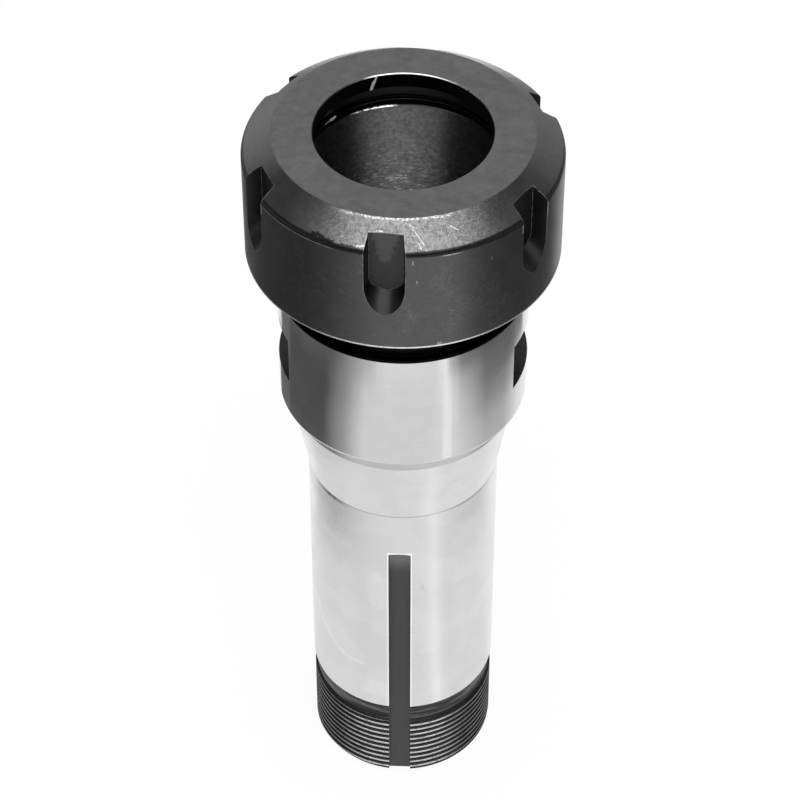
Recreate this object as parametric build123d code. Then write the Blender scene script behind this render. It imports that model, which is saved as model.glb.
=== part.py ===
from build123d import *
import os
from math import cos, radians, sqrt, tan

# Collet chuck holder: a turned and ground steel holder with a draw-in shank, and the slotted
# clamping nut that screws onto its nose. All lengths are millimetres, all angles degrees.
# The origin is the centre of the shank's rear face, +Z runs out through the nut, and the
# shank's keyway faces -Y.

# Shank and rear thread
shank_d = 31.75
shank_len = 67.0
rear_thread_d = 31.45
rear_thread_len = 14.4
thread_relief_d = 30.7
thread_relief_len = 3.85
rear_edge = 0.8

# Seating cone and head
seat_angle = 10.0
seat_end_d = 36.5
head_taper_angle = 30.0
head_d = 40.5
shoulder_z = 106.6
head_edge = 0.4

# Keyway, milled with a disc cutter that runs out at its upper end
keyway_w = 3.75
keyway_depth = 1.45
keyway_end_z = 57.9
keyway_cutter_r = 20.0

# Wrench flats
flats_across = 36.0
flats_low_z = 90.8
flats_len = 9.2

# Threaded nose; its diameter follows the nut's
nose_len = 21.7
nose_edge = 1.0
nose_undercut_depth = 1.0
nose_undercut_len = 2.5

# Collet socket and through bore
socket_mouth_d = 32.0
socket_angle = 8.0
socket_len = 38.0
socket_edge = 0.25
socket_relief_d = 22.8
socket_relief_len = 3.0
through_bore_d = 20.0
bore_edge = 1.0

# Clamping nut
nut_d = 50.0
nut_len = 22.5
nut_gap = 7.1
nut_turned_by = -4.5
nut_bevel_w = 4.6
nut_bevel_len = 3.4
nut_rear_edge = 0.25
nut_shoulder_round = 1.1
nut_wall = 4.95
thread_clearance = 0.1
nut_thread_edge = 0.9
nut_relief_depth = 0.5
nut_relief_len = 2.0

# Nut mouth: front bore, seat for the collet's face, groove and eccentric extraction lip
nut_front_w = 11.05
nut_bore_len = 2.6
collet_seat_angle = 30.0
collet_seat_w = 1.55
lip_len = 1.0
lip_offset = 0.5
lip_turned_to = 60.0
groove_depth = 1.1
groove_len = 1.3

# Spanner slots in the nut
slot_count = 6
slot_depth = 2.66
slot_w = 6.36
slot_floor_w = 5.32
slot_len = 15.45
slot_floor_len = 12.6
slot_end_rise = 5.4
slot_floor_end_rise = 2.2

overcut = 2.0

# Radii and heights that follow from the sizes above
nut_thread_r = nut_d / 2 - nut_wall
nose_thread_r = nut_thread_r - thread_clearance
nut_bore_r = nut_d / 2 - nut_front_w
lip_r = nut_bore_r + collet_seat_w
nose_z = shoulder_z + nose_len


def half_section(outline):
    """Flat half section from its corners, as (radius, height)."""
    return make_face(Plane.XZ * Polyline(*outline, close=True)).face()


def turned(outline):
    """Solid turned about Z from the corners of its half section."""
    return revolve(half_section(outline), Axis.Z)


def cone_length(small_r, large_r, angle):
    """Length along the axis over which a cone of this half angle grows from one radius to the other."""
    return (large_r - small_r) / tan(radians(angle))


def holder_outside():
    """Outer form from the threaded rear end up to the nose, with no hole in it."""
    seat_top_z = shank_len + cone_length(shank_d / 2, seat_end_d / 2, seat_angle)
    head_low_z = seat_top_z + cone_length(seat_end_d / 2, head_d / 2, head_taper_angle)
    relief_end_z = rear_thread_len + thread_relief_len
    relief_step = (rear_thread_d - thread_relief_d) / 2
    undercut_r = nose_thread_r - nose_undercut_depth
    return turned([
        (0, 0),
        (rear_thread_d / 2 - rear_edge, 0),
        (rear_thread_d / 2, rear_edge),
        (rear_thread_d / 2, rear_thread_len - relief_step),
        (thread_relief_d / 2, rear_thread_len),
        (thread_relief_d / 2, relief_end_z),
        (shank_d / 2, relief_end_z),
        (shank_d / 2, shank_len),
        (seat_end_d / 2, seat_top_z),
        (head_d / 2, head_low_z),
        (head_d / 2, shoulder_z - head_edge),
        (head_d / 2 - head_edge, shoulder_z),
        (undercut_r, shoulder_z),
        (undercut_r, shoulder_z + nose_undercut_len),
        (nose_thread_r, shoulder_z + nose_undercut_len + nose_undercut_depth),
        (nose_thread_r, nose_z - nose_edge),
        (nose_thread_r - nose_edge, nose_z),
        (0, nose_z),
    ])


def collet_socket_and_bore():
    """Tapered collet socket, the relief behind it and the bore that runs on to the rear."""
    socket_end_z = nose_z - socket_len
    socket_end_r = socket_mouth_d / 2 - socket_len * tan(radians(socket_angle))
    relief_low_z = socket_end_z - socket_relief_len
    bore_r = through_bore_d / 2
    mouth_r = socket_mouth_d / 2
    return turned([
        (0, -overcut),
        (bore_r + bore_edge + overcut, -overcut),
        (bore_r, bore_edge),
        (bore_r, relief_low_z),
        (socket_relief_d / 2, relief_low_z),
        (socket_relief_d / 2, socket_end_z),
        (socket_end_r, socket_end_z),
        (mouth_r - socket_edge * tan(radians(socket_angle)), nose_z - socket_edge),
        (mouth_r + socket_edge, nose_z),
        (mouth_r + socket_edge, nose_z + overcut),
        (0, nose_z + overcut),
    ])


def keyway():
    """Straight key slot, open at the rear face, with the cutter's curved run-out at its end."""
    floor_y = -(shank_d / 2 - keyway_depth)
    runout = sqrt(keyway_cutter_r**2 - (keyway_cutter_r - keyway_depth) ** 2)
    floor_end_z = keyway_end_z - runout
    reach = keyway_depth + overcut
    straight = Pos(0, floor_y, -overcut) * Box(
        keyway_w, reach, floor_end_z + overcut, align=(Align.CENTER, Align.MAX, Align.MIN)
    )
    disc = Rot(0, 90, 0) * Cylinder(keyway_cutter_r, keyway_w)
    return straight + Pos(0, floor_y - keyway_cutter_r, floor_end_z) * disc


def wrench_flats():
    """The two milled pockets that leave a pair of parallel flats on the head."""
    pocket = Box(head_d, head_d, flats_len, align=(Align.MIN, Align.CENTER, Align.MIN))
    right = Pos(flats_across / 2, 0, flats_low_z) * pocket
    return right + mirror(right, about=Plane.YZ)


def holder_body():
    """Steel holder: one turned piece, bored, keyed and milled."""
    return holder_outside() - collet_socket_and_bore() - keyway() - wrench_flats()


def nut_ring():
    """Turned ring of the nut, its rear face at height 0, with the lip bored off centre.

    That hole leaves the lip wide on one side, where it pulls the collet out of its socket.
    """
    seat_z = nut_len - nut_bore_len
    groove_z = seat_z - cone_length(nut_bore_r, lip_r, collet_seat_angle)
    groove_r = lip_r + groove_depth
    lip_z = groove_z - groove_len
    relief_z = lip_z - lip_len
    relief_r = nut_thread_r + nut_relief_depth
    bevel_foot = (nut_d / 2, nut_len - nut_bevel_len)
    section = half_section([
        (nut_thread_r + nut_thread_edge, 0),
        (nut_d / 2 - nut_rear_edge, 0),
        (nut_d / 2, nut_rear_edge),
        bevel_foot,
        (nut_d / 2 - nut_bevel_w, nut_len),
        (nut_bore_r, nut_len),
        (nut_bore_r, seat_z),
        (lip_r, groove_z),
        (groove_r, groove_z),
        (groove_r, lip_z),
        (nut_bore_r, lip_z),
        (nut_bore_r, relief_z),
        (relief_r, relief_z),
        (relief_r, relief_z - nut_relief_len),
        (nut_thread_r, relief_z - nut_relief_len - nut_relief_depth),
        (nut_thread_r, nut_thread_edge),
    ])
    shoulder = section.vertices().sort_by_distance((bevel_foot[0], 0, bevel_foot[1]))[0]
    ring = revolve(section.fillet_2d(nut_shoulder_round, [shoulder]), Axis.Z)
    lip_hole = Pos(lip_offset, 0, relief_z - lip_len / 2) * Cylinder(
        lip_r, 2 * lip_len, align=(Align.CENTER, Align.CENTER, Align.MIN)
    )
    return ring - Rot(0, 0, lip_turned_to) * lip_hole


def slot_outline(depth):
    """U-shaped outline of a spanner slot at this depth below the nut's outside."""
    share = depth / slot_depth
    half_w = (slot_w + (slot_floor_w - slot_w) * share) / 2
    length = slot_len + (slot_floor_len - slot_len) * share
    rise = slot_end_rise + (slot_floor_end_rise - slot_end_rise) * share
    plane = Plane(origin=(0, depth - nut_d / 2, nut_len), x_dir=(1, 0, 0), z_dir=(0, -1, 0))
    end_centre = (0, rise - length)
    top_left = (-half_w, overcut)
    top_right = (half_w, overcut)
    sides = Polyline((half_w, end_centre[1]), top_right, top_left, (-half_w, end_centre[1]))
    end = EllipticalCenterArc(end_centre, half_w, rise, start_angle=180, arc_size=180)
    return plane * make_face(sides + end)


def spanner_slot():
    """One slot cutter, lofted from the slot's floor out past the nut's outside."""
    return loft([slot_outline(slot_depth), slot_outline(-overcut)], ruled=True)


def clamping_nut():
    """Clamping nut, in its place on the nose."""
    cutter = spanner_slot()
    slots = [Rot(0, 0, 360 * i / slot_count) * cutter for i in range(slot_count)]
    nut = nut_ring() - slots
    return Pos(0, 0, shoulder_z + nut_gap) * Rot(0, 0, nut_turned_by) * nut


os.makedirs("parts", exist_ok=True)
export_step(holder_body(), "parts/holder_body.step")
export_step(clamping_nut(), "parts/clamping_nut.step")
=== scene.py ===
import math

import bmesh
import bpy
from mathutils import Matrix, Vector


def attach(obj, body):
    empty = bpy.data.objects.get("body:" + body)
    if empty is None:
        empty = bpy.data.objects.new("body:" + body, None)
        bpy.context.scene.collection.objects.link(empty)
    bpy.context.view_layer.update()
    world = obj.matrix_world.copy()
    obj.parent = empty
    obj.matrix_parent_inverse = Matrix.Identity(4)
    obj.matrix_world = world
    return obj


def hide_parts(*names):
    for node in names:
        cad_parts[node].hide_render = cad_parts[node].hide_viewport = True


# The collet chuck holder: fine meshes of both pieces, their materials, the studio and the camera.
# Pieces are modelled in millimetres in the CAD frame and scaled to metres at the end.
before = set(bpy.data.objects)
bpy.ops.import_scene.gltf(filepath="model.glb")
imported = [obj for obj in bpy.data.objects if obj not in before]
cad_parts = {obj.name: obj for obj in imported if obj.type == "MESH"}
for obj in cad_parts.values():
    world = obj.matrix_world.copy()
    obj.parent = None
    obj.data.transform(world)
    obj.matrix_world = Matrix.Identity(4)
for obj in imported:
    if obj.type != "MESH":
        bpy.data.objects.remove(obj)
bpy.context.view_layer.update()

MM = 0.001
AROUND = 288  # steps around a turned surface
SHARP_ANGLE = math.radians(4.5)  # above the angle between two steps, below the flattest real edge

# Sizes, the same as in the CAD source
SHANK_R = 15.875
SHANK_LEN = 67.0
REAR_THREAD_R = 15.725
REAR_THREAD_LEN = 14.4
RELIEF_R = 15.35
RELIEF_LEN = 3.85
REAR_EDGE = 0.8
SEAT_END_R = 18.25
SEAT_ANGLE = math.radians(10)
HEAD_TAPER_ANGLE = math.radians(30)
HEAD_R = 20.25
SHOULDER_Z = 106.6
HEAD_EDGE = 0.4  # a chamfer in the CAD source, a round of this radius here
KEYWAY_W = 3.75
KEYWAY_DEPTH = 1.45
KEYWAY_END_Z = 57.9
KEYWAY_CUTTER_R = 20.0
FLATS_X = 18.0
FLATS_LOW_Z = 90.8
FLATS_LEN = 9.2
NOSE_LEN = 21.7
NOSE_EDGE = 1.0
UNDERCUT_DEPTH = 1.0
UNDERCUT_LEN = 2.5
SOCKET_R = 16.0
SOCKET_ANGLE = math.radians(8)
SOCKET_LEN = 38.0
SOCKET_EDGE = 0.25
SOCKET_RELIEF_R = 11.4
SOCKET_RELIEF_LEN = 3.0
BORE_R = 10.0
BORE_EDGE = 1.0

NUT_R = 25.0
NUT_LEN = 22.5
NUT_GAP = 7.1
NUT_TURNED_BY = math.radians(-4.5)
NUT_BEVEL_W = 4.6
NUT_BEVEL_LEN = 3.4
NUT_REAR_EDGE = 0.25
NUT_SHOULDER_ROUND = 1.1
NUT_WALL = 4.95
THREAD_CLEARANCE = 0.1
NUT_THREAD_EDGE = 0.9
NUT_RELIEF_DEPTH = 0.5
NUT_RELIEF_LEN = 2.0
NUT_FRONT_W = 11.05
NUT_BORE_LEN = 2.6
COLLET_SEAT_ANGLE = math.radians(30)
COLLET_SEAT_W = 1.55
LIP_LEN = 1.0
LIP_OFFSET = 0.5
LIP_TURNED_TO = math.radians(60)
GROOVE_DEPTH = 1.1
GROOVE_LEN = 1.3
SLOT_COUNT = 6
SLOT_DEPTH = 2.66
SLOT_W = 6.36
SLOT_FLOOR_W = 5.32
SLOT_LEN = 15.45
SLOT_FLOOR_LEN = 12.6
SLOT_END_RISE = 5.4
SLOT_FLOOR_END_RISE = 2.2

# Radii and heights that follow from the sizes above
RELIEF_END_Z = REAR_THREAD_LEN + RELIEF_LEN
NOSE_Z = SHOULDER_Z + NOSE_LEN
NUT_LOW_Z = SHOULDER_Z + NUT_GAP
NUT_TOP_Z = NUT_LOW_Z + NUT_LEN
BEVEL_LOW_Z = NUT_TOP_Z - NUT_BEVEL_LEN
NUT_THREAD_R = NUT_R - NUT_WALL
NUT_RELIEF_R = NUT_THREAD_R + NUT_RELIEF_DEPTH
NOSE_R = NUT_THREAD_R - THREAD_CLEARANCE
UNDERCUT_R = NOSE_R - UNDERCUT_DEPTH
NUT_BORE_R = NUT_R - NUT_FRONT_W
LIP_R = NUT_BORE_R + COLLET_SEAT_W
GROOVE_R = LIP_R + GROOVE_DEPTH

# Threads, small rounds and edge breaks, which only this script makes
REAR_PITCH = 1.27
NUT_PITCH = 1.5
HEAD_LOW_ROUND = 0.8
SHANK_EDGE_BREAK = 0.12
NUT_EDGE_BREAK = 0.25
NUT_BEVEL_BREAK = 0.1

OVERCUT = 2.0
TOUCH = 0.01  # how far off a surface a face's centre may be and still count as part of it


# Meshes
def cone_length(small_r, large_r, angle):
    """Length along the axis over which a cone of this half angle grows from one radius to the other."""
    return (large_r - small_r) / math.tan(angle)


def new_piece(name, verts, faces):
    """Object from vertices in millimetres, its faces turned outwards."""
    mesh = bpy.data.meshes.new(name)
    mesh.from_pydata([tuple(v) for v in verts], [], faces)
    work = bmesh.new()
    work.from_mesh(mesh)
    bmesh.ops.recalc_face_normals(work, faces=work.faces)
    work.to_mesh(mesh)
    work.free()
    piece = bpy.data.objects.new(name, mesh)
    bpy.context.scene.collection.objects.link(piece)
    return piece


def turned(name, outline):
    """Closed outline of (radius, height) points, none of them on the axis, turned about Z."""
    n = len(outline)
    verts = []
    faces = []
    for i in range(AROUND):
        a = 2 * math.pi * i / AROUND
        verts += [(r * math.cos(a), r * math.sin(a), z) for r, z in outline]
        k = (i + 1) % AROUND
        for j in range(n):
            m = (j + 1) % n
            faces.append((i * n + j, k * n + j, k * n + m, i * n + m))
    return new_piece(name, verts, faces)


def loft(name, sections):
    """Closed solid through equally divided closed outlines, with flat ends."""
    n = len(sections[0])
    verts = [p for section in sections for p in section]
    faces = [tuple(range(n)), tuple(reversed(range(len(verts) - n, len(verts))))]
    for i in range(len(sections) - 1):
        for j in range(n):
            m = (j + 1) % n
            faces.append((i * n + j, i * n + m, (i + 1) * n + m, (i + 1) * n + j))
    return new_piece(name, verts, faces)


def thread_groove(name, crest_r, depth, pitch, crest_flat, low_z, high_z, inward, fade_turns=0.0):
    """Cutter for a right-hand vee groove of 60 degrees: inward from crest_r on an outside thread,
    outward on an inside one. Over its last fade_turns the groove rises out of the metal."""
    steps_a_turn = 144
    side = -1 if inward else 1
    slope = math.tan(math.radians(30))
    proud = 0.06
    turns = (high_z - low_z) / pitch
    steps = round(turns * steps_a_turn)
    half_open = (pitch - crest_flat) / 2 + proud * slope
    half_root = (pitch - crest_flat) / 2 - depth * slope
    sections = []
    for i in range(steps + 1):
        turn = i / steps_a_turn
        a = 2 * math.pi * turn
        z = low_z + pitch * turn
        left = turns - turn
        rise = 0.0
        if fade_turns and left < fade_turns:
            rise = (1 - left / fade_turns) * (depth + 2 * proud)
        open_r = crest_r - side * (proud + rise)
        root_r = crest_r + side * (depth - rise)
        corners = (
            (open_r, z - half_open),
            (open_r, z + half_open),
            (root_r, z + half_root),
            (root_r, z - half_root),
        )
        sections.append([(r * math.cos(a), r * math.sin(a), h) for r, h in corners])
    return loft(name, sections)


def cut(piece, cutters):
    """Takes the cutters' solids out of the piece and deletes them."""
    for cutter in cutters:
        step = piece.modifiers.new("cut", "BOOLEAN")
        step.operation = "DIFFERENCE"
        step.solver = "MANIFOLD"
        step.object = cutter
    bpy.context.view_layer.update()
    graph = bpy.context.evaluated_depsgraph_get()
    mesh = bpy.data.meshes.new_from_object(piece.evaluated_get(graph))
    piece.modifiers.clear()
    piece.data = mesh
    for cutter in cutters:
        bpy.data.objects.remove(cutter)


def finish_mesh(piece, materials, zone):
    """Smooths the curved faces, keeps real edges sharp, scales to metres and gives each face the
    material that zone(centre, normal) names."""
    names = list(materials)
    mesh = piece.data
    mesh.materials.clear()
    for name in names:
        mesh.materials.append(materials[name])
    work = bmesh.new()
    work.from_mesh(mesh)
    bmesh.ops.dissolve_degenerate(work, dist=1e-5, edges=work.edges)
    for face in work.faces:
        face.smooth = True
        face.material_index = names.index(zone(face.calc_center_median(), face.normal))
    for edge in work.edges:
        if len(edge.link_faces) == 2:
            edge.smooth = edge.calc_face_angle(0.0) < SHARP_ANGLE
    work.to_mesh(mesh)
    work.free()
    mesh.transform(Matrix.Scale(MM, 4))
    mesh.update()


def rounded(before, corner, after, radius, steps):
    """Points of the arc that rounds a corner between two straight runs of an outline."""
    corner, before, after = Vector(corner), Vector(before), Vector(after)
    a = (before - corner).normalized()
    b = (after - corner).normalized()
    half = a.angle(b) / 2
    centre = corner + (a + b).normalized() * radius / math.sin(half)
    start = corner + a * radius / math.tan(half) - centre
    turn = math.pi - 2 * half
    if start.x * b.y - start.y * b.x < 0:
        turn = -turn
    points = []
    for i in range(steps + 1):
        t = turn * i / steps
        x = start.x * math.cos(t) - start.y * math.sin(t)
        y = start.x * math.sin(t) + start.y * math.cos(t)
        points.append((centre.x + x, centre.y + y))
    return points


# Holder
def holder_outline():
    """Half section of the holder, out from the rear face, up to the nose and back down inside."""
    seat_top_z = SHANK_LEN + cone_length(SHANK_R, SEAT_END_R, SEAT_ANGLE)
    head_low_z = seat_top_z + cone_length(SEAT_END_R, HEAD_R, HEAD_TAPER_ANGLE)
    undercut_z = SHOULDER_Z + UNDERCUT_LEN
    socket_end_z = NOSE_Z - SOCKET_LEN
    socket_end_r = SOCKET_R - SOCKET_LEN * math.tan(SOCKET_ANGLE)
    relief_low_z = socket_end_z - SOCKET_RELIEF_LEN
    seat_top = (SEAT_END_R, seat_top_z)
    head_low = (HEAD_R, head_low_z)
    head_top = (HEAD_R, SHOULDER_Z)
    shoulder = (UNDERCUT_R, SHOULDER_Z)
    return [
        (BORE_R + BORE_EDGE, 0),
        (REAR_THREAD_R - REAR_EDGE, 0),
        (REAR_THREAD_R, REAR_EDGE),
        (REAR_THREAD_R, REAR_THREAD_LEN - (REAR_THREAD_R - RELIEF_R)),
        (RELIEF_R, REAR_THREAD_LEN),
        (RELIEF_R, RELIEF_END_Z),
        (SHANK_R - SHANK_EDGE_BREAK, RELIEF_END_Z),
        (SHANK_R, RELIEF_END_Z + SHANK_EDGE_BREAK),
        (SHANK_R, SHANK_LEN),
        seat_top,
        *rounded(seat_top, head_low, head_top, HEAD_LOW_ROUND, steps=9),
        *rounded(head_low, head_top, shoulder, HEAD_EDGE, steps=21),
        shoulder,
        (UNDERCUT_R, undercut_z),
        (NOSE_R, undercut_z + NOSE_R - UNDERCUT_R),
        (NOSE_R, NOSE_Z - NOSE_EDGE),
        (NOSE_R - NOSE_EDGE, NOSE_Z),
        (SOCKET_R + SOCKET_EDGE, NOSE_Z),
        (SOCKET_R - SOCKET_EDGE * math.tan(SOCKET_ANGLE), NOSE_Z - SOCKET_EDGE),
        (socket_end_r, socket_end_z),
        (SOCKET_RELIEF_R, socket_end_z),
        (SOCKET_RELIEF_R, relief_low_z),
        (BORE_R, relief_low_z),
        (BORE_R, BORE_EDGE),
    ]


def keyway_cutter():
    """Key slot's cutter, extruded across from its side view, with the disc's run-out."""
    floor_y = -(SHANK_R - KEYWAY_DEPTH)
    out_y = floor_y - KEYWAY_DEPTH - OVERCUT
    runout = math.sqrt(KEYWAY_CUTTER_R**2 - (KEYWAY_CUTTER_R - KEYWAY_DEPTH) ** 2)
    floor_end_z = KEYWAY_END_Z - runout
    last = math.acos((KEYWAY_CUTTER_R - KEYWAY_DEPTH - OVERCUT) / KEYWAY_CUTTER_R)
    side = [(out_y, -OVERCUT), (floor_y, -OVERCUT)]
    steps = 24
    for i in range(steps + 1):
        a = last * i / steps
        side.append((
            floor_y - KEYWAY_CUTTER_R + KEYWAY_CUTTER_R * math.cos(a),
            floor_end_z + KEYWAY_CUTTER_R * math.sin(a),
        ))
    half = KEYWAY_W / 2
    return loft("keyway", [[(x, y, z) for y, z in side] for x in (-half, half)])


def flat_cutter(sign):
    """Cutter for one wrench flat."""
    half = HEAD_R + OVERCUT
    top = FLATS_LOW_Z + FLATS_LEN
    outline = [(-half, FLATS_LOW_Z), (half, FLATS_LOW_Z), (half, top), (-half, top)]
    xs = (sign * FLATS_X, sign * half)
    return loft("flat", [[(x, y, z) for y, z in outline] for x in xs])


def make_holder(materials):
    piece = turned("holder", holder_outline())
    rear_thread = thread_groove(
        "rear_thread", REAR_THREAD_R, depth=0.72, pitch=REAR_PITCH, crest_flat=0.3,
        low_z=-1.4, high_z=REAR_THREAD_LEN + 1.7, inward=True, fade_turns=0.9,
    )
    nose_thread = thread_groove(
        "nose_thread", NOSE_R, depth=0.9, pitch=NUT_PITCH, crest_flat=0.24,
        low_z=SHOULDER_Z + 1.4, high_z=NOSE_Z + 1.2, inward=True,
    )
    cut(piece, [rear_thread, nose_thread, keyway_cutter(), flat_cutter(1), flat_cutter(-1)])
    keyway_floor_y = -(SHANK_R - KEYWAY_DEPTH)
    head_from_z = 83.5  # within the round that joins the taper to the head

    def zone(centre, normal):
        x, y, z = centre
        r = math.hypot(x, y)
        out = (normal.x * x + normal.y * y) / r  # 1 where the face looks away from the axis
        if z > NOSE_Z - SOCKET_EDGE - TOUCH:
            return "nose"
        if out < -0.2 or r < SOCKET_RELIEF_R + 1 and z > 1:
            return "bore"
        if abs(x) < KEYWAY_W / 2 + TOUCH and y < 0 and z < KEYWAY_END_Z:
            if abs(normal.x) > 0.9 or abs(y - keyway_floor_y) < TOUCH:
                return "keyway"
            if z > RELIEF_END_Z + 1 and r < SHANK_R - 2 * TOUCH:
                return "keyway"
        if z < RELIEF_END_Z + TOUCH:
            return "black_thread"
        if z > SHOULDER_Z - HEAD_EDGE:
            return "nose"
        if abs(abs(x) - FLATS_X) < 2 * TOUCH or abs(normal.z) > 0.9:
            return "flat"
        if normal.z < -0.47 and z > SHANK_LEN:
            return "taper"
        if z > head_from_z:
            return "head"
        return "ground"

    finish_mesh(piece, materials, zone)
    return piece


# Nut
def nut_outline():
    """Half section of the nut with its rear face at height 0."""
    bevel_low = (NUT_R, NUT_LEN - NUT_BEVEL_LEN)
    bevel_high = (NUT_R - NUT_BEVEL_W, NUT_LEN)
    bore_mouth = (NUT_BORE_R, NUT_LEN)
    seat_z = NUT_LEN - NUT_BORE_LEN
    groove_z = seat_z - cone_length(NUT_BORE_R, LIP_R, COLLET_SEAT_ANGLE)
    lip_z = groove_z - GROOVE_LEN
    relief_z = lip_z - LIP_LEN
    return [
        (NUT_THREAD_R + NUT_THREAD_EDGE, 0),
        (NUT_R - NUT_REAR_EDGE, 0),
        (NUT_R, NUT_REAR_EDGE),
        *rounded((NUT_R, 0), bevel_low, bevel_high, NUT_SHOULDER_ROUND, steps=14),
        *rounded(bevel_low, bevel_high, bore_mouth, NUT_BEVEL_BREAK, steps=8),
        *rounded(bevel_high, bore_mouth, (NUT_BORE_R, seat_z), NUT_EDGE_BREAK, steps=20),
        (NUT_BORE_R, seat_z),
        (LIP_R, groove_z),
        (GROOVE_R, groove_z),
        (GROOVE_R, lip_z),
        (NUT_BORE_R, lip_z),
        (NUT_BORE_R, relief_z),
        (NUT_RELIEF_R, relief_z),
        (NUT_RELIEF_R, relief_z - NUT_RELIEF_LEN),
        (NUT_THREAD_R, relief_z - NUT_RELIEF_LEN - NUT_RELIEF_DEPTH),
        (NUT_THREAD_R, NUT_THREAD_EDGE),
    ]


def lip_hole():
    """Off-centre hole through the extraction lip."""
    seat_z = NUT_LEN - NUT_BORE_LEN
    groove_z = seat_z - cone_length(NUT_BORE_R, LIP_R, COLLET_SEAT_ANGLE)
    middle_z = groove_z - GROOVE_LEN - LIP_LEN / 2
    x = LIP_OFFSET * math.cos(LIP_TURNED_TO)
    y = LIP_OFFSET * math.sin(LIP_TURNED_TO)
    steps = 192
    rings = []
    for z in (middle_z - LIP_LEN, middle_z + LIP_LEN):
        turns = [2 * math.pi * i / steps for i in range(steps)]
        rings.append([(x + LIP_R * math.cos(a), y + LIP_R * math.sin(a), z) for a in turns])
    return loft("lip_hole", rings)


def slot_outline(depth):
    """U-shaped outline of a spanner slot at this depth below the nut's outside, at the front."""
    share = depth / SLOT_DEPTH
    half_w = (SLOT_W + (SLOT_FLOOR_W - SLOT_W) * share) / 2
    length = SLOT_LEN + (SLOT_FLOOR_LEN - SLOT_LEN) * share
    rise = SLOT_END_RISE + (SLOT_FLOOR_END_RISE - SLOT_END_RISE) * share
    y = depth - NUT_R
    end_z = NUT_LEN - length + rise
    steps = 60
    points = [(half_w, y, NUT_LEN + OVERCUT), (-half_w, y, NUT_LEN + OVERCUT)]
    for i in range(steps + 1):
        a = math.pi * i / steps
        points.append((-half_w * math.cos(a), y, end_z - rise * math.sin(a)))
    return points


def slot_cutter(turned_to):
    cutter = loft("slot", [slot_outline(SLOT_DEPTH), slot_outline(-OVERCUT)])
    cutter.data.transform(Matrix.Rotation(turned_to, 4, "Z"))
    return cutter


def make_nut(materials):
    piece = turned("nut", nut_outline())
    inner_thread = thread_groove(
        "inner_thread", NUT_THREAD_R, depth=0.5, pitch=NUT_PITCH, crest_flat=0.5,
        low_z=-1.3, high_z=13.6, inward=False,
    )
    slots = [slot_cutter(2 * math.pi * i / SLOT_COUNT) for i in range(SLOT_COUNT)]
    cut(piece, [inner_thread, lip_hole()] + slots)
    piece.data.transform(Matrix.Rotation(NUT_TURNED_BY, 4, "Z"))
    piece.data.transform(Matrix.Translation((0, 0, NUT_LOW_Z)))

    def zone(centre, normal):
        x, y, z = centre
        r = math.hypot(x, y)
        out = (normal.x * x + normal.y * y) / r  # 1 where the face looks away from the axis
        if z < NUT_TOP_Z - 1 and r < NUT_THREAD_R + NUT_THREAD_EDGE or normal.z < -0.5:
            return "nut_inside"
        if r < NUT_BORE_R + TOUCH or out < -0.2 and r > NUT_BORE_R + 1:
            return "nut_inside"
        if normal.z > 0.99 or r < NUT_BORE_R + 1:
            return "nut_face"
        if r < NUT_R - SLOT_DEPTH + 0.4 and out > 0.5 and normal.z < 0.5:
            return "nut_slot"
        cone_r = NUT_R - max(0, z - BEVEL_LOW_Z) * NUT_BEVEL_W / NUT_BEVEL_LEN
        if z > BEVEL_LOW_Z - 1 and out > 0.3 and normal.z > 0.02 and r > cone_r - 0.25:
            return "nut_bevel"
        if out > 0.99 and r > NUT_R - 0.1 or z < NUT_LOW_Z + NUT_REAR_EDGE:
            return "nut_side"
        return "nut_slot"

    finish_mesh(piece, materials, zone)
    return piece


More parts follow.
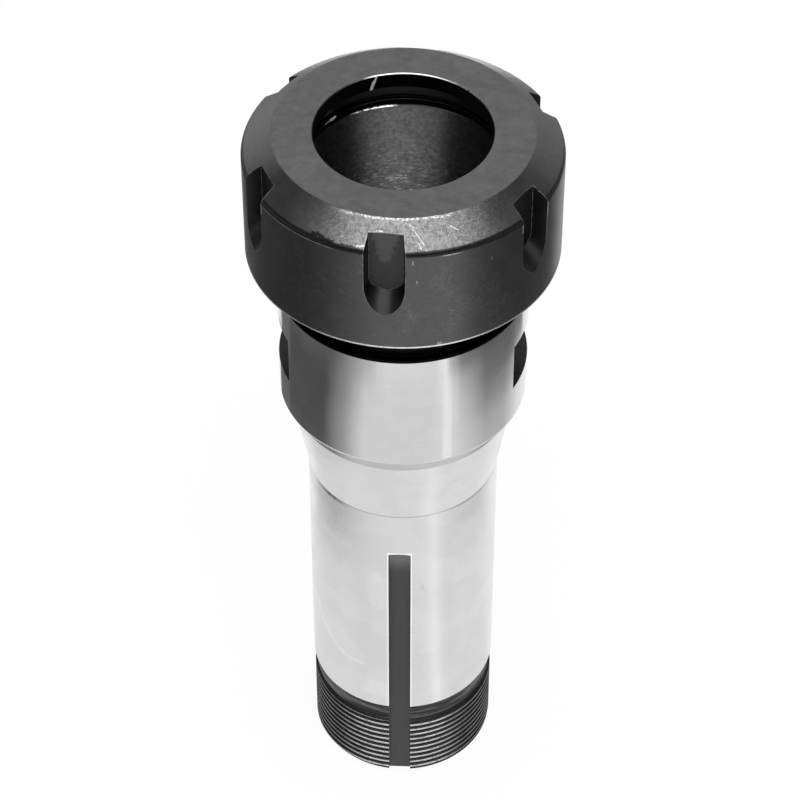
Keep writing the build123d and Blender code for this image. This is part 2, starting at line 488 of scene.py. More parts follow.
# Materials
class Shader:
    """The nodes of one material, with the object's own coordinates in millimetres."""

    def __init__(self, name):
        self.material = bpy.data.materials.new(name)
        self.material.use_nodes = True
        self.tree = self.material.node_tree
        self.tree.nodes.clear()
        coords = self.add("ShaderNodeTexCoord").outputs["Object"]
        scaled = self.add("ShaderNodeVectorMath", {"operation": "SCALE"}, Vector=coords, Scale=1 / MM)
        self.point = scaled.outputs[0]
        parts = self.add("ShaderNodeSeparateXYZ", Vector=self.point)
        self.x, self.y, self.z = parts.outputs
        flat = self.combine(self.x, self.y, 0.0)
        length = self.add("ShaderNodeVectorMath", {"operation": "LENGTH"}, Vector=flat)
        self.r = length.outputs["Value"]
        # height that grows along every turned face, whatever its slope
        self.along = self.math("MULTIPLY_ADD", self.r, 1.73, self.z)
        # degrees round the axis from the keyway's side, growing towards +X
        turn = self.math("ARCTAN2", self.x, self.times(self.y, -1.0))
        self.turn = self.times(turn, 180 / math.pi)
        self.rubbed = None  # share of the painted glints, rougher than the rest

    def add(self, kind, props=None, **inputs):
        node = self.tree.nodes.new(kind)
        for key, value in (props or {}).items():
            setattr(node, key, value)
        for key, value in inputs.items():
            self.put(node, key.replace("_", " "), value)
        return node

    def put(self, node, key, value):
        socket = node.inputs[key]
        if isinstance(value, bpy.types.NodeSocket):
            self.tree.links.new(value, socket)
        else:
            socket.default_value = value

    def math(self, operation, *values, clamp=False):
        node = self.tree.nodes.new("ShaderNodeMath")
        node.operation = operation
        node.use_clamp = clamp
        for i, value in enumerate(values):
            self.put(node, i, value)
        return node.outputs[0]

    def times(self, *values):
        total = values[0]
        for value in values[1:]:
            total = self.math("MULTIPLY", total, value)
        return total

    def vector(self, operation, a, b):
        node = self.add("ShaderNodeVectorMath", {"operation": operation})
        self.put(node, 0, a)
        self.put(node, 1, b)
        return node.outputs["Value" if operation in ("DOT_PRODUCT", "DISTANCE") else "Vector"]

    def combine(self, x, y, z):
        return self.add("ShaderNodeCombineXYZ", X=x, Y=y, Z=z).outputs[0]

    def stretched(self, across, along):
        """Coordinates for marks that run around the turned piece."""
        return self.combine(
            self.times(self.x, across), self.times(self.y, across), self.times(self.along, along)
        )

    def noise(self, vector, scale, detail=2.0, roughness=0.5, distortion=0.0):
        node = self.add(
            "ShaderNodeTexNoise",
            Vector=vector,
            Scale=scale,
            Detail=detail,
            Roughness=roughness,
            Distortion=distortion,
        )
        return node.outputs["Fac"]

    def range(self, value, low, high, to_low=0.0, to_high=1.0):
        """Smooth step of the value from low to high."""
        node = self.tree.nodes.new("ShaderNodeMapRange")
        node.interpolation_type = "SMOOTHSTEP"
        for key, number in (
            ("Value", value),
            ("From Min", low),
            ("From Max", high),
            ("To Min", to_low),
            ("To Max", to_high),
        ):
            self.put(node, key, number)
        return node.outputs["Result"]

    def mix(self, share, a, b):
        """Mix of two greys by share."""
        node = self.tree.nodes.new("ShaderNodeMix")
        node.data_type = "FLOAT"
        self.put(node, 0, share)
        self.put(node, 2, a)
        self.put(node, 3, b)
        return node.outputs[0]

    def paint(self, base, grey, *masks):
        """Base with this grey laid over it, as far as the product of the masks says."""
        return self.mix(self.times(*masks), base, grey)

    def varied(self, value, texture, amount):
        """Value that follows a texture about its middle by this share of itself."""
        return self.times(value, self.math("MULTIPLY_ADD", texture, 2 * amount, 1.0 - amount))

    def swayed(self, value, texture, amount):
        """Value that wanders with a texture, by this much from end to end."""
        return self.math("MULTIPLY_ADD", self.math("SUBTRACT", texture, 0.5), amount, value)

    def band(self, value, low, high, soft):
        """1 where the value is between low and high, with soft ends."""
        return self.times(
            self.range(value, low - soft, low + soft), self.range(value, high + soft, high - soft)
        )

    def area(self, turns, heights):
        """1 between two azimuths and between two heights. Each is low, high and softness."""
        return self.times(self.band(self.turn, *turns), self.band(self.z, *heights))

    def scratch(self, start, end, width, wander):
        """1 on a mark between two points, 0 beside it. Its line wanders by so many millimetres."""
        run = Vector(end) - Vector(start)
        from_start = self.vector("SUBTRACT", self.point, tuple(start))
        noise = self.add("ShaderNodeTexNoise", Vector=self.point, Scale=1.3, Detail=3.0)
        sway = self.vector("SUBTRACT", noise.outputs["Color"], (0.5, 0.5, 0.5))
        sway = self.vector("MULTIPLY", sway, (2 * wander,) * 3)
        from_start = self.vector("ADD", from_start, sway)
        dot = self.vector("DOT_PRODUCT", from_start, tuple(run))
        share = self.math("DIVIDE", dot, run.length_squared, clamp=True)
        nearest = self.vector("MULTIPLY", tuple(run), self.combine(share, share, share))
        off = self.vector("DISTANCE", from_start, nearest)
        return self.range(off, width / 2, width / 4)

    def largest(self, masks):
        total = masks[0]
        for mask in masks[1:]:
            total = self.math("MAXIMUM", total, mask)
        return total

    def edges(self, radius):
        """1 on the corners of the mesh, falling to 0 at this distance in millimetres."""
        round_normal = self.add("ShaderNodeBevel", {"samples": 6}, Radius=radius * MM).outputs[0]
        true_normal = self.add("ShaderNodeNewGeometry").outputs["Normal"]
        return self.range(self.vector("DOT_PRODUCT", round_normal, true_normal), 0.99, 0.85)

    def metal(self, grey, roughness, height, depth, edge_radius=0.12, brushed=0.0):
        """Ends the material as metal of this grey. Height is worth depth millimetres of relief,
        and brushed metal is rougher along the axis than around it."""
        bevel = self.add("ShaderNodeBevel", {"samples": 6}, Radius=edge_radius * MM).outputs[0]
        normal = self.add(
            "ShaderNodeBump", Strength=1.0, Distance=depth * MM, Height=height, Normal=bevel
        ).outputs[0]
        shader = self.add(
            "ShaderNodeBsdfPrincipled",
            Base_Color=self.combine(grey, grey, grey),
            Metallic=1.0,
            Roughness=roughness,
            Normal=normal,
        )
        if brushed:
            around = self.add("ShaderNodeTangent", {"direction_type": "RADIAL", "axis": "Z"})
            self.put(shader, "Tangent", around.outputs[0])
            self.put(shader, "Anisotropic", brushed)
            self.put(shader, "Anisotropic Rotation", 0.25)
        self.add("ShaderNodeOutputMaterial", Surface=shader.outputs[0])
        return self.material


def steel(name, grey, roughness, lines, depth, brushed, smears, marks=None):
    """Ground or fine-turned bright steel, with the marks running around it. marks(shader, tone)
    adds what belongs to one place, and returns the new tone."""
    s = Shader(name)
    fine = s.noise(s.stretched(0.04, 3.0), 1.0)
    broad = s.noise(s.stretched(0.03, 1.1), 1.0)
    cloud = s.noise(s.point, 0.12, 3.0)
    smear = s.noise(s.point, 0.3, 3.0, 0.6)
    tone = s.varied(grey, fine, lines)
    tone = s.varied(tone, broad, lines / 2)
    tone = s.varied(tone, cloud, lines / 2)
    tone = s.varied(tone, smear, smears / 2)
    if marks:
        tone = marks(s, tone)
    # painted highlight: the corners near white
    tone = s.paint(tone, 0.95, s.edges(0.16), 0.8)
    rough = s.varied(s.swayed(roughness, broad, roughness * 0.3), smear, smears * 2)
    return s.metal(tone, rough, fine, depth, brushed=brushed)


def shank_point(turn, z):
    """Point of the shank at this many degrees from the keyway's side."""
    a = math.radians(turn)
    return (SHANK_R * math.sin(a), -SHANK_R * math.cos(a), z)


def shank_wear_and_shade(s, tone):
    """Painted shade in the corner under the seating cone and below it on both sides, a painted
    highlight along the keyway's edges, and faint rub marks.
    """
    grain = s.noise(s.point, 1.6, 3.0, 0.6)
    # painted shade: the corner under the seating cone darkened, more on the right and left sides
    corner = s.band(s.z, SHANK_LEN - 0.2, SHANK_LEN + 0.04, 0.05)
    tone = s.paint(tone, 0.12, corner, 0.4)
    right = s.area((34, 62, 8), (SHANK_LEN - 0.5, SHANK_LEN + 0.02, 0.12))
    tone = s.paint(tone, 0.2, right, 0.45)
    left = s.area((-57, -39, 9), (SHANK_LEN - 0.8, SHANK_LEN + 0.02, 0.12))
    tone = s.paint(tone, 0.1, left, s.range(grain, 0.3, 0.6, 0.5, 0.95))
    # painted shade below the corner, on the left and right
    left_shade = s.area((-58, -32, 10), (SHANK_LEN - 9, SHANK_LEN - 1, 3))
    tone = s.paint(tone, 0.3, left_shade, s.range(grain, 0.3, 0.7, 0.04, 0.18))
    right_shade = s.area((34, 60, 10), (SHANK_LEN - 5, SHANK_LEN - 0.5, 2))
    tone = s.paint(tone, 0.3, right_shade, s.range(grain, 0.3, 0.7, 0.05, 0.18))

    # painted highlight: a thin bright line along the keyway's sides and its upper end
    keyway_edge_highlight = s.times(
        s.range(s.math("ABSOLUTE", s.x), KEYWAY_W / 2 + 0.26, KEYWAY_W / 2 + 0.16),
        s.range(s.y, -10, -12),
        s.range(s.z, KEYWAY_END_Z + 0.26, KEYWAY_END_Z + 0.16),
    )
    tone = s.paint(tone, 0.98, keyway_edge_highlight)

    path = [(-64.2, 35.8), (-58.8, 32.6), (-49.7, 30.5), (-38.7, 28.5), (-23.5, 28.3)]
    widths = (1.0, 1.2, 1.2, 0.9)
    arcs = [
        s.scratch(shank_point(*start), shank_point(*end), width, 0.5)
        for start, end, width in zip(path, path[1:], widths)
    ]
    tone = s.paint(tone, 0.98, s.largest(arcs), 0.17)
    loose_turn = s.swayed(s.turn, s.noise(s.point, 0.5, 3.0), 14)
    loose_z = s.swayed(s.z, s.noise(s.point, 0.7, 3.0), 4)
    patches = [
        s.times(s.band(loose_turn, -21, 0, 2), s.band(loose_z, 43.7, 52.3, 1)),
        s.times(s.band(loose_turn, -21.5, 0, 2), s.band(loose_z, 17, 25, 1)),
    ]
    tone = s.paint(tone, 0.98, s.largest(patches), s.range(grain, 0.3, 0.6, 0.08, 0.16))
    cloud = s.range(s.noise(s.point, 0.17, 2.0, 0.4), 0.44, 0.56)
    tone = s.varied(tone, cloud, 0.018)
    nick = s.scratch(shank_point(12.9, 50.4), shank_point(15.4, 48.5), 0.4, 0.5)
    return s.paint(tone, 0.3, nick, 0.2)


def taper_painted_shade(s, tone):
    """Painted shade: the taper under the head darkens towards its sides, where it reflects darker
    surroundings.
    """
    loose_turn = s.swayed(s.turn, s.noise(s.point, 0.8, 3.0, 0.6), 12)
    left = s.range(loose_turn, -20, -37)
    right = s.times(s.range(loose_turn, 30, 46), 0.6)
    limbs = s.largest([s.range(loose_turn, -62, -76), s.range(loose_turn, 66, 80)])
    return s.paint(tone, 0.1, s.largest([left, right]), s.math("SUBTRACT", 1.0, limbs), 0.85)


def bored_steel(name):
    """Bored inside of the socket, mottled, with dashes of its turning marks low down."""
    s = Shader(name)
    blotch = s.noise(s.point, 0.5, 4.0, 0.65)
    grain = s.noise(s.point, 1.4, 4.0, 0.75)
    dash = s.noise(s.vector("MULTIPLY", s.point, (0.9, 0.9, 2.6)), 1.0, 3.0, 0.7)
    low = s.range(s.z, NOSE_Z - 4, NOSE_Z - 18)
    tone = s.varied(s.varied(0.18, blotch, 0.35), grain, 0.9)
    tone = s.paint(tone, 0.8, s.range(dash, 0.56, 0.64), s.math("MULTIPLY_ADD", low, 0.5, 0.06))
    tone = s.paint(tone, 0.06, s.range(dash, 0.45, 0.36), s.math("MULTIPLY_ADD", low, 0.5, 0.12))
    return s.metal(tone, 0.42, dash, 0.004, brushed=1.0)


def keyway_steel(name):
    """Milled slot, darkened, paler where the cutter ran out."""
    s = Shader(name)
    grain = s.noise(s.point, 2.5, 3.0, 0.6)
    streak = s.noise(s.vector("MULTIPLY", s.point, (3.0, 1.0, 0.15)), 1.0)
    tone = s.varied(s.varied(0.07, grain, 0.12), streak, 0.15)
    tone = s.paint(tone, 0.16, s.range(s.z, KEYWAY_END_Z - 6, KEYWAY_END_Z - 1))
    tone = s.paint(tone, 0.5, s.edges(0.12), s.range(grain, 0.35, 0.65), 0.5)
    return s.metal(tone, 0.4, grain, 0.002)


def thread_steel(name):
    """Black thread and relief, with crests worn bright and brighter still in front as a painted
    highlight, and streaks around the relief.
    """
    s = Shader(name)
    patch = s.noise(s.stretched(0.5, 1.5), 1.0, 3.0)
    streak = s.noise(s.stretched(0.12, 1.6), 1.0, 3.0, 0.6)
    blot = s.noise(s.point, 0.9, 4.0, 0.7)
    crest = s.times(
        s.range(s.r, REAR_THREAD_R - 0.08, REAR_THREAD_R - 0.03),
        s.range(patch, 0.25, 0.5, 0.6, 1.0),
        s.range(blot, 0.32, 0.46, 0.45, 1.0),
        # painted highlight: crests brightest in front
        s.range(s.math("ABSOLUTE", s.turn), 22, 48, 1.0, 0.28),
        s.range(s.z, REAR_THREAD_LEN - 0.2, REAR_THREAD_LEN - 0.5),
        s.range(s.z, 1.0, 1.3),
    )
    relief = s.band(s.z, REAR_THREAD_LEN + 0.2, RELIEF_END_Z - 0.9, 0.3)
    tone = s.math("MULTIPLY_ADD", patch, 0.03, 0.02)
    tone = s.paint(tone, 0.13, relief, s.range(streak, 0.42, 0.62))
    tone = s.paint(tone, 0.5, crest)
    return s.metal(tone, s.mix(crest, 0.5, 0.34), patch, 0.002, edge_radius=0.06)


def black(name, grey, roughness, mottle, edge_wear_and_highlight, edge_width, marks=None):
    """Black-oxide steel, cloudy, with rubbed corners, lighter also as a painted edge highlight.
    marks(shader, tone) adds the wear and painted light that belong to one place, and returns the new
    tone."""
    s = Shader(name)
    cloud = s.noise(s.point, 0.22, 4.0, 0.6)
    blotch = s.noise(s.point, 1.1, 3.0, 0.6)
    grain = s.noise(s.point, 4.5, 2.0, 0.6)
    fine = s.noise(s.stretched(0.08, 5.0), 1.0, 3.0, 0.6)
    tone = grey
    for texture in (cloud, blotch, grain):
        tone = s.varied(tone, texture, mottle)
    tone = s.varied(tone, fine, 0.08)
    if marks:
        tone = marks(s, tone)
    # rubbed corners, lighter also as a painted edge highlight
    tone = s.paint(tone, 0.55, s.edges(edge_width), s.range(blotch, 0.3, 0.6), edge_wear_and_highlight)
    rough = s.swayed(roughness, cloud, 0.15)
    if s.rubbed:
        rough = s.mix(s.rubbed, rough, 0.7)
    return s.metal(tone, rough, s.math("MULTIPLY_ADD", grain, 0.6, fine), 0.003)


def nut_point(turn, up):
    """Point of the nut's outside at this many degrees from the keyway's side, and this far above
    the foot of the bevel."""
    a = math.radians(turn)
    r = NUT_R - max(0.0, up) * NUT_BEVEL_W / NUT_BEVEL_LEN
    return (r * math.sin(a), -r * math.cos(a), BEVEL_LOW_Z + up)


def nut_scratches(s, marks):
    """1 on marks of the nut's outside. Each has a start and an end, as nut_point takes them, a
    width and the millimetres that it wanders."""
    return s.largest([
        s.scratch(nut_point(*start), nut_point(*end), width, wander)
        for start, end, width, wander in marks
    ])


def specks(s, tone, size, share, strength):
    """A few irregular bare specks, none over most of the surface."""
    spot = s.range(s.noise(s.point, 1 / size, 3.0, 0.75, 0.8), share, share + 0.09)
    place = s.range(s.noise(s.point, 0.3, 1.0), 0.52, 0.66)
    return s.paint(tone, 0.45, spot, place, strength)


def bevel_wear_and_highlight(s, tone):
    """The bevel rubbed and pitted in front, a painted highlight along its upper edge in front, and its
    lower edge chipped.
    """
    grain = s.noise(s.point, 4.5, 2.0, 0.6)
    facing = s.times(s.range(s.turn, -52, -14), s.range(s.turn, 58, 24))
    rub = s.range(s.noise(s.point, 1.5, 5.0, 0.75), 0.3, 0.7)
    pit = s.range(s.noise(s.point, 3.6, 3.0, 0.75), 0.54, 0.64)
    spark = s.range(s.noise(s.point, 3.1, 3.0, 0.75), 0.6, 0.68)
    worn = s.mix(rub, s.times(tone, 0.65), s.times(tone, 1.5))
    worn = s.paint(worn, 0.03, pit, 0.7)
    worn = s.paint(worn, 0.5, spark, 0.5)
    tone = s.mix(facing, tone, worn)

    foot = s.band(s.z, BEVEL_LOW_Z - 0.56, BEVEL_LOW_Z + 0.32, 0.07)
    tone = s.paint(tone, 0.025, foot, s.range(grain, 0.2, 0.5, 0.5, 0.9))
    # painted highlight along the bevel's upper edge, in front
    loose_z = s.swayed(s.z, s.noise(s.point, 1.4, 3.0), 0.5)
    rim_highlight = s.band(loose_z, NUT_TOP_Z - 0.26, NUT_TOP_Z + 0.2, 0.05)
    broken = s.range(s.noise(s.point, 2.6, 4.0, 0.75), 0.42, 0.58)
    tone = s.paint(tone, 0.4, rim_highlight, s.band(s.turn, -25, 25, 6), broken)

    scratches = nut_scratches(s, [
        ((4.37, 2.86), (9.8, 0.81), 0.14, 0.08),
        ((20.44, 2.24), (23.42, 1.71), 0.18, 0.15),
        ((-14.5, 0.45), (-9.3, 0.7), 0.5, 0.5),
        ((-6.0, 2.1), (-9.0, 2.0), 0.25, 0.3),
        ((7.6, 1.1), (8.4, 0.5), 0.2, 0.2),
    ])
    tone = s.paint(tone, 0.5, scratches, s.range(grain, 0.3, 0.5), 0.7)
    chips = nut_scratches(s, [
        ((-31, 0.45), (-23.5, 0.35), 0.8, 0.7),
        ((-20, 0.4), (-15, 0.3), 0.35, 0.4),
    ])
    tone = s.paint(tone, 0.015, chips, 0.9)
    return specks(s, tone, size=0.45, share=0.66, strength=0.5)


def side_wear(s, tone):
    """Thin bare lines along the side's edges, rubbed slot corners, hair scratches and specks."""
    broken = s.range(s.noise(s.point, 1.2, 3.0, 0.7), 0.3, 0.5)
    low = s.range(s.z, NUT_LOW_Z + 0.6, NUT_LOW_Z + 0.46)
    tone = s.paint(tone, 0.8, low, s.math("MULTIPLY_ADD", broken, 0.4, 0.6))
    high = s.band(s.z, BEVEL_LOW_Z - 0.74, BEVEL_LOW_Z - 0.58, 0.05)
    runs = s.largest([s.band(s.turn, -60, -24, 3), s.band(s.turn, 16, 22, 1.5)])
    tone = s.paint(tone, 0.6, high, runs, broken, 0.8)

    nicks = nut_scratches(s, [
        ((5.39, -1.3), (5.39, -1.9), 0.35, 0.2),
        ((6.78, -5.2), (6.78, -5.6), 0.3, 0.2),
        ((34.11, -3.6), (34.11, -4.1), 0.28, 0.1),
        ((14.2, -18.25), (15.4, -18.35), 0.6, 0.4),
    ])
    tone = s.paint(tone, 0.5, nicks, 0.4)
    corners = nut_scratches(s, [
        ((62.8, -0.4), (62.8, -3.2), 0.6, 0.15),
        ((48.2, -0.6), (48.2, -2.2), 0.55, 0.15),
        ((-57.2, -0.6), (-57.2, -2.2), 0.5, 0.15),
    ])
    tone = s.paint(tone, 0.8, corners, 0.8)

    web = s.noise(s.point, 0.55, 5.0, 0.65, 1.5)
    hair = s.times(s.range(web, 0.488, 0.5), s.range(web, 0.512, 0.5))
    place = s.range(s.noise(s.point, 0.16), 0.5, 0.62)
    tone = s.paint(tone, 0.3, hair, place, 0.5)
    return specks(s, tone, size=0.45, share=0.69, strength=0.4)


def slot_painted_light(s, tone):
    """The front slot's floor painted a little lighter, with a pale painted reflection on it, narrowing
    downwards.
    """
    texture = s.noise(s.point, 0.9, 4.0, 0.6)
    loose_x = s.swayed(s.x, texture, 3)
    loose_z = s.swayed(s.z, texture, 3)
    off_middle = s.math("ABSOLUTE", s.math("ADD", loose_x, 1.8))
    half_w = s.math("MULTIPLY_ADD", s.math("SUBTRACT", s.z, BEVEL_LOW_Z - 3), 0.25, 0.85)
    across = s.range(s.math("SUBTRACT", off_middle, half_w), 0.5, -0.5)
    down = s.range(loose_z, BEVEL_LOW_Z - 4.4, BEVEL_LOW_Z - 2.8)
    floor_y = SLOT_DEPTH - NUT_R
    floor = s.range(s.y, floor_y + 0.94, floor_y + 0.54)
    # painted light on the front slot's floor
    tone = s.paint(tone, s.times(tone, 1.15), floor)
    return s.paint(tone, 0.12, floor, across, down, 0.5)


def face_wear_and_highlight(s, tone):
    """Smudges on the front face, and a painted highlight along the far side of its inner edge."""
    smudge = s.noise(s.vector("MULTIPLY", s.point, (0.2, 0.3, 0.0)), 1.0, 5.0, 0.6, 1.0)
    tone = s.varied(tone, smudge, 0.32)
    tone = s.varied(tone, s.noise(s.point, 0.6, 4.0, 0.65, 0.5), 0.25)
    # painted highlight along the back of the bore's rim
    rim_highlight = s.range(s.r, NUT_BORE_R + 0.24, NUT_BORE_R + 0.14)
    broken = s.range(s.noise(s.point, 1.6, 3.0, 0.7), 0.42, 0.56)
    bare = s.largest([
        s.range(s.turn, -150, -158),
        s.range(s.turn, 140, 152),
        s.times(s.range(s.turn, 118, 130), broken, 0.35),
    ])
    tone = s.paint(tone, 0.95, rim_highlight, bare)
    return specks(s, tone, size=0.5, share=0.7, strength=0.35)


def inside_glints(s, tone):
    """Painted glints: a bright streak on the wall of the front bore, and a bright spot on the lip, both
    rougher.
    """
    # painted glints on the bore's wall and on the lip
    s.rubbed = s.largest([
        s.scratch((-5.5, 12.82, 133.75), (-5.0, 13.02, 135.2), 0.75, 0.2),
        s.scratch((-5.2, 12.94, 134.5), (-4.66, 13.15, 136.1), 0.5, 0.1),
        s.scratch((-12.5, 9.1, 129.5), (-11.9, 9.9, 129.5), 0.3, 0.1),
        s.scratch((-11.7, 10.2, 129.5), (-11.1, 10.85, 129.5), 0.8, 0.3),
    ])
    return s.paint(tone, 0.98, s.rubbed)


def nose_shade_and_glint(s, tone):
    """The nose with painted shade below the nut, the socket's mouth darker, and a painted glint on the
    mouth in one place.
    """
    mouth = s.times(
        s.range(s.r, SOCKET_R + 0.34, SOCKET_R + 0.26),
        s.range(s.z, NOSE_Z - 0.5, NOSE_Z - 0.3),
    )
    tone = s.paint(tone, 0.03, mouth)
    # painted shade below the nut, in the gap above the head
    tone = s.paint(tone, 0.007, s.range(s.z, NUT_LOW_Z + 1, NUT_LOW_Z - 1))
    # painted glint on the socket's mouth
    broken = s.range(s.noise(s.point, 1.7, 3.0, 0.7), 0.38, 0.5)
    return s.paint(tone, 0.95, s.band(s.turn, -172, -149, 4), broken, mouth)


def holder_materials():
    """The holder's material for each zone that make_holder names."""
    return {
        "ground": steel(
            "ground_shank", grey=0.67, roughness=0.3, lines=0.035, depth=0.0004,
            brushed=0.5, smears=0.08, marks=shank_wear_and_shade,
        ),
        "head": steel(
            "ground_head", grey=0.60, roughness=0.13, lines=0.03, depth=0.0002,
            brushed=0.3, smears=0.14,
        ),
        "taper": steel(
            "turned_taper", grey=0.63, roughness=0.62, lines=0.1, depth=0.001,
            brushed=0.0, smears=0.1, marks=taper_painted_shade,
        ),
        "nose": black(
            "black_nose", grey=0.06, roughness=0.35, mottle=0.1,
            edge_wear_and_highlight=0.1, edge_width=0.14, marks=nose_shade_and_glint,
        ),
        "flat": black(
            "black_flat", grey=0.036, roughness=0.4, mottle=0.4, edge_wear_and_highlight=0.8, edge_width=0.2,
        ),
        "bore": bored_steel("bored_socket"),
        "keyway": keyway_steel("keyway_floor"),
        "black_thread": thread_steel("black_thread"),
    }


def nut_materials():
    """The nut's material for each zone that make_nut names."""
    return {
        "nut_side": black(
            "nut_side", grey=0.095, roughness=0.36, mottle=0.16,
            edge_wear_and_highlight=0.7, edge_width=0.22, marks=side_wear,
        ),
        "nut_face": black(
            "nut_face", grey=0.13, roughness=0.38, mottle=0.08,
            edge_wear_and_highlight=0.0, edge_width=0.14, marks=face_wear_and_highlight,
        ),
        "nut_bevel": black(
            "nut_bevel", grey=0.126, roughness=0.36, mottle=0.15,
            edge_wear_and_highlight=1.0, edge_width=0.24, marks=bevel_wear_and_highlight,
        ),
        # its grey darker than the side's: painted shade in the slots
        "nut_slot": black(
            "nut_slot", grey=0.04, roughness=0.42, mottle=0.2,
            edge_wear_and_highlight=0.5, edge_width=0.14, marks=slot_painted_light,
        ),
        # its grey darker than the side's: painted shade inside the nut
        "nut_inside": black(
            "nut_inside", grey=0.022, roughness=0.35, mottle=0.12,
            edge_wear_and_highlight=0.15, edge_width=0.1, marks=inside_glints,
        ),
    }


# Studio
def light_path(tree):
    """1 for rays that see the background: from the camera, in a reflection or through glass."""
    path = tree.nodes.new("ShaderNodeLightPath")
    seen = tree.nodes.new("ShaderNodeMath")
    seen.operation = "MAXIMUM"
    tree.links.new(path.outputs["Is Camera Ray"], seen.inputs[0])
    tree.links.new(path.outputs["Is Glossy Ray"], seen.inputs[1])
    both = tree.nodes.new("ShaderNodeMath")
    both.operation = "MAXIMUM"
    tree.links.new(seen.outputs[0], both.inputs[0])
    tree.links.new(path.outputs["Is Transmission Ray"], both.inputs[1])
    return both.outputs[0]


def make_world():
    """White world that lights the object a little less brightly than it looks."""
    world = bpy.data.worlds.new("studio")
    bpy.context.scene.world = world
    world.use_nodes = True
    tree = world.node_tree
    tree.nodes.clear()
    soft = tree.nodes.new("ShaderNodeBackground")
    soft.inputs["Strength"].default_value = 0.9
    white = tree.nodes.new("ShaderNodeBackground")
    white.inputs["Strength"].default_value = 1.0
    for background in (soft, white):
        background.inputs["Color"].default_value = (1, 1, 1, 1)
    mix = tree.nodes.new("ShaderNodeMixShader")
    tree.links.new(light_path(tree), mix.inputs[0])
    tree.links.new(soft.outputs[0], mix.inputs[1])
    tree.links.new(white.outputs[0], mix.inputs[2])
    out = tree.nodes.new("ShaderNodeOutputWorld")
    tree.links.new(mix.outputs[0], out.inputs["Surface"])


def stage_mesh(name, verts, faces, material):
    mesh = bpy.data.meshes.new(name)
    mesh.from_pydata(verts, [], faces)
    mesh.materials.append(material)
    thing = bpy.data.objects.new(name, mesh)
    bpy.context.scene.collection.objects.link(thing)
    return thing


def make_floor():
    """Pale floor that the camera sees almost white, with the object's soft shadow kept."""
    material = bpy.data.materials.new("pale_floor")
    material.use_nodes = True
    tree = material.node_tree
    tree.nodes.clear()
    matt = tree.nodes.new("ShaderNodeBsdfDiffuse")
    matt.inputs["Color"].default_value = (0.95, 0.95, 0.95, 1)
    white = tree.nodes.new("ShaderNodeEmission")
    white.inputs["Strength"].default_value = 1.0
    share = tree.nodes.new("ShaderNodeMath")
    share.operation = "MULTIPLY"
    share.inputs[1].default_value = 0.9
    tree.links.new(light_path(tree), share.inputs[0])
    mix = tree.nodes.new("ShaderNodeMixShader")
    tree.links.new(share.outputs[0], mix.inputs[0])
    tree.links.new(matt.outputs[0], mix.inputs[1])
    tree.links.new(white.outputs[0], mix.inputs[2])
    out = tree.nodes.new("ShaderNodeOutputMaterial")
    tree.links.new(mix.outputs[0], out.inputs["Surface"])
    half = 3.0
    corners = [(-half, -half, 0), (half, -half, 0), (half, half, 0), (-half, half, 0)]
    stage_mesh("floor", corners, [(0, 1, 2, 3)], material)


def card(name, strength, verts, faces=((0, 1, 2, 3),), turns=None):
    """Studio card that only reflections see: a dark flag, or a bright panel. Two strengths fade
    from one azimuth to the other."""
    s = Shader(name)
    if turns:
        fade = s.add(
            "ShaderNodeMapRange",
            Value=s.turn,
            From_Min=turns[0],
            From_Max=turns[1],
            To_Min=strength[0],
            To_Max=strength[1],
        )
        strength = fade.outputs["Result"]
    glow = s.add("ShaderNodeEmission", Strength=strength)
    s.add("ShaderNodeOutputMaterial", Surface=glow.outputs[0])
    thing = stage_mesh(name, [tuple(c * MM for c in vert) for vert in verts], list(faces), s.material)
    thing.visible_camera = False
    thing.visible_diffuse = False
    thing.visible_shadow = False
    thing.visible_transmission = False


def board(name, strength, xs, ys, zs):
    """Flat card between two points of the plan, upright or leaning from one height to the other."""
    card(name, strength, [
        (xs[0], ys[0], zs[0]),
        (xs[1], ys[0], zs[0]),
        (xs[1], ys[1], zs[1]),
        (xs[0], ys[1], zs[1]),
    ])


def arc_card(name, strength, radii, turns, heights):
    """Card that runs round the object between two azimuths from the keyway's side, from the
    first radius and height to the second. Two strengths fade from one azimuth to the other."""
    steps = max(2, round(abs(turns[1] - turns[0]) / 3))
    verts = []
    for i in range(steps + 1):
        a = math.radians(turns[0] + (turns[1] - turns[0]) * i / steps)
        verts += [(r * math.sin(a), -r * math.cos(a), z) for r, z in zip(radii, heights)]
    faces = [(2 * i, 2 * i + 1, 2 * i + 3, 2 * i + 2) for i in range(steps)]
    fades = isinstance(strength, tuple)
    card(name, strength, verts, faces, turns if fades else None)


def floor_card(name, strength, radii, turns, height=1.0):
    arc_card(name, strength, radii, turns, (height, height))


def wall_card(name, strength, radius, turns, heights):
    arc_card(name, strength, (radius, radius), turns, heights)


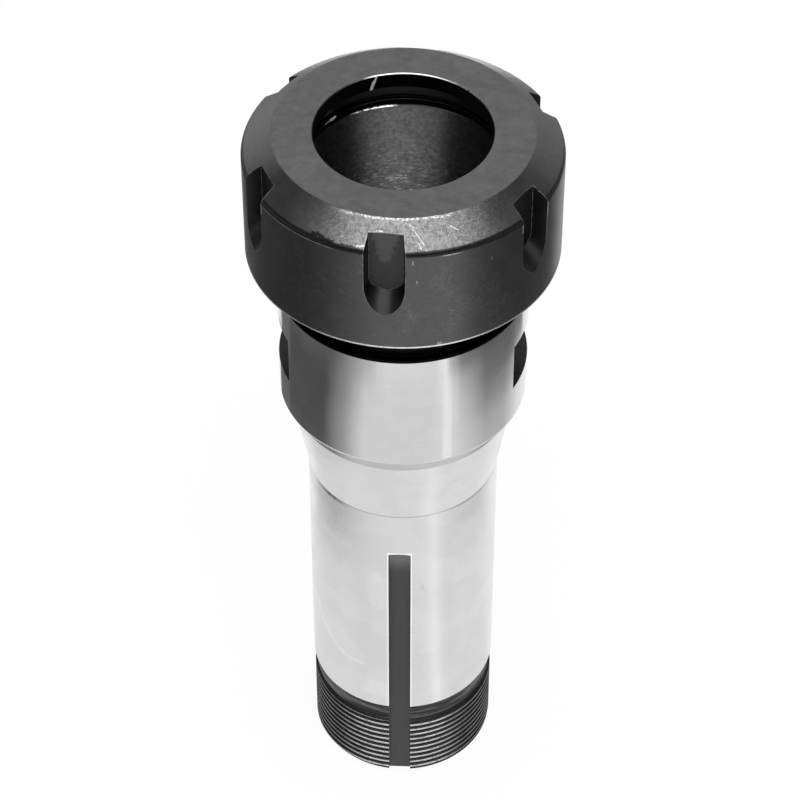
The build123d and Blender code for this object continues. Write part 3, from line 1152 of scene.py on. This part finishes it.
# Cards that lie on the floor: name, strength, radii, azimuths, and height where it isn't 1 mm.
# Seen from the camera, a wall of the object at height z reflects the floor about z from its
# foot, and at twice its own azimuth.
FLOOR_CARDS = [
    # for the head's lower part
    ("left_low_edge", (1.0, 0.5), (85, 113), (-34, -50)),
    ("left_low_side", (0.5, 0.11), (85, 113), (-50, -71)),
    ("left_low", 0.11, (85, 113), (-120, -71)),
    ("left_low_back", 0.16, (85, 113), (-148, -120)),
    ("right_low_side", (1.0, 0.64), (85, 106), (52, 80)),
    ("right_low", 0.66, (85, 106), (80, 101)),
    ("right_low_back", (0.66, 1.1), (85, 106), (101, 130)),
    ("right_middle_side", (1.0, 0.42), (106, 116), (48, 77)),
    ("right_middle", 0.39, (106, 116), (77, 104)),
    ("right_middle_back", (0.39, 0.9), (106, 116), (104, 130)),
    # for the head's upper part
    ("left_high_edge", (0.95, 0.42), (113, 130), (-31, -47)),
    ("left_high_side", (0.42, 0.10), (113, 130), (-47, -67)),
    ("left_high", 0.10, (113, 130), (-115, -67)),
    ("left_high_back", 0.18, (113, 130), (-136, -115)),
    ("left_high_limb", 1.05, (113, 130), (-148, -136)),
    ("right_high_side", (1.0, 0.25), (116, 130), (45, 76)),
    ("right_high", (0.25, 0.16), (116, 130), (76, 108)),
    ("right_high_back", (0.16, 0.3), (116, 130), (108, 133)),
    # for the nut's side
    ("left_far_edge", (0.85, 0.42), (130, 600), (-20, -37)),
    ("left_far_side", (0.44, 0.14), (130, 600), (-37, -58)),
    ("left_far", (0.14, 0.2), (130, 600), (-58, -95)),
    ("left_far_back", 0.18, (130, 600), (-148, -95)),
    ("front_far", 1.1, (130, 600), (-14, 33), 1.2),
    ("right_near_side", (0.88, 0.14), (130, 162), (33, 52)),
    ("right_near", 0.13, (130, 162), (52, 95)),
    ("right_far_side", (0.92, 0.17), (162, 600), (36, 57)),
    ("right_far", (0.17, 0.12), (162, 600), (57, 95)),
    ("right_far_back", 0.14, (130, 600), (95, 133)),
    # for the shank
    ("shade_left_edge", (1.0, 0.66), (70, 85), (-50, -84)),
    ("shade_left", (0.66, 1.05), (70, 85), (-84, -118)),
    ("glow_left", 1.08, (40, 70), (-118, -50)),
    ("glow_right", 1.08, (40, 85), (60, 110)),
    ("glow_back_right", 1.12, (24, 60), (110, 180)),
    ("glow_high_right", 1.25, (60, 85), (110, 180)),
    ("glow_back_left", 1.1, (24, 60), (-180, -118)),
    ("glow_high_left", 1.35, (60, 85), (-180, -118)),
    ("dark_foot_left", 0.25, (15.9, 21), (-180, -95)),
    ("dark_foot_right", 0.25, (15.9, 21), (95, 180)),
    # behind the object, for its sides, the nut's faces and the socket
    ("back_left", 1.05, (85, 200), (-180, -148)),
    ("back_right", 1.05, (85, 200), (133, 180)),
    ("bright_back_left", 2.6, (222, 280), (-180, -168.5)),
    ("light_back_left", 2.0, (280, 315), (-180, -164)),
    ("bright_back_right", 2.8, (228, 340), (169, 180)),
    ("dark_back_left", 0.4, (315, 560), (-180, -148)),
    ("dark_back_right", 0.8, (340, 480), (150, 180)),
    ("far_back_left", 0.16, (560, 900), (-180, -148)),
    ("far_back_right", 0.18, (480, 900), (150, 180)),
    ("end_back_left", 0.28, (900, 1500), (-180, -148)),
    ("end_back_right", 0.22, (900, 1500), (150, 180)),
    # for the bright streaks down the front
    ("streak_wide", 1.07, (22, 85), (24, 46), 1.5),
    ("streak_front", 1.3, (22, 85), (32, 40), 2.0),
    ("head_streak_wide", 1.05, (85, 130), (28, 50), 1.5),
    ("head_streak", 1.3, (85, 130), (36, 44), 2.0),
    ("nut_streak", 1.3, (130, 230), (32, 40), 2.0),
]

# Upright cards round the object: name, strength, radius, azimuths and heights
WALL_CARDS = [
    ("wall_left", 0.5, 900, (-122, -52), (0, 430)),
    ("wall_left_back", 0.95, 900, (-168, -122), (0, 800)),
    ("wall_right", 0.5, 900, (52, 138), (0, 430)),
    ("wall_right_back", 0.72, 900, (138, 168), (0, 800)),
    ("dark_left", 0.06, 900, (-125, -48), (430, 1000)),
    ("dark_right", 0.06, 900, (48, 125), (430, 1000)),
    ("bore_glow", 1.2, 420, (-40, 41), (360, 640)),
]

# Flat cards above and in front: name, strength, and two points as xs, ys and zs
BOARDS = [
    ("dark_front", 0.06, (-900, 900), (-620, -430), (20, 640)),
    ("dark_ceiling", 0.12, (-1000, 1000), (-640, 350), (1000, 1000)),
    ("softbox_face", 4.0, (-330, 400), (-120, -430), (700, 640)),
]


def make_softbox():
    """The one lamp, high in front, aimed at the nut."""
    data = bpy.data.lights.new("softbox", "AREA")
    data.energy = 3.2
    data.size = 0.5
    light = bpy.data.objects.new("softbox", data)
    light.location = (0.06, -0.42, 0.9)
    aim = Vector((0, 0, 0.13)) - light.location
    light.rotation_euler = aim.to_track_quat("-Z", "Y").to_euler()
    bpy.context.scene.collection.objects.link(light)
    light.visible_camera = False


def make_camera():
    """The photograph's view, fitted to the circles of the nut, bore, cone and shank."""
    data = bpy.data.cameras.new("camera")
    data.sensor_width = 36.0
    data.lens = 136.45
    camera = bpy.data.objects.new("camera", data)
    camera.location = (0.01287, -0.35941, 0.43083)
    camera.rotation_euler = (math.pi / 2 - 0.7751, 0, 0.0372)
    bpy.context.scene.collection.objects.link(camera)
    bpy.context.scene.camera = camera
    bpy.context.scene.view_settings.view_transform = "Standard"


make_camera()
make_world()
make_floor()
make_softbox()
for row in FLOOR_CARDS:
    floor_card(*row)
for row in WALL_CARDS:
    wall_card(*row)
for row in BOARDS:
    board(*row)

holder = make_holder(holder_materials())
nut = make_nut(nut_materials())
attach(holder, "holder")
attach(nut, "nut")
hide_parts("holder_body")
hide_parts("clamping_nut")
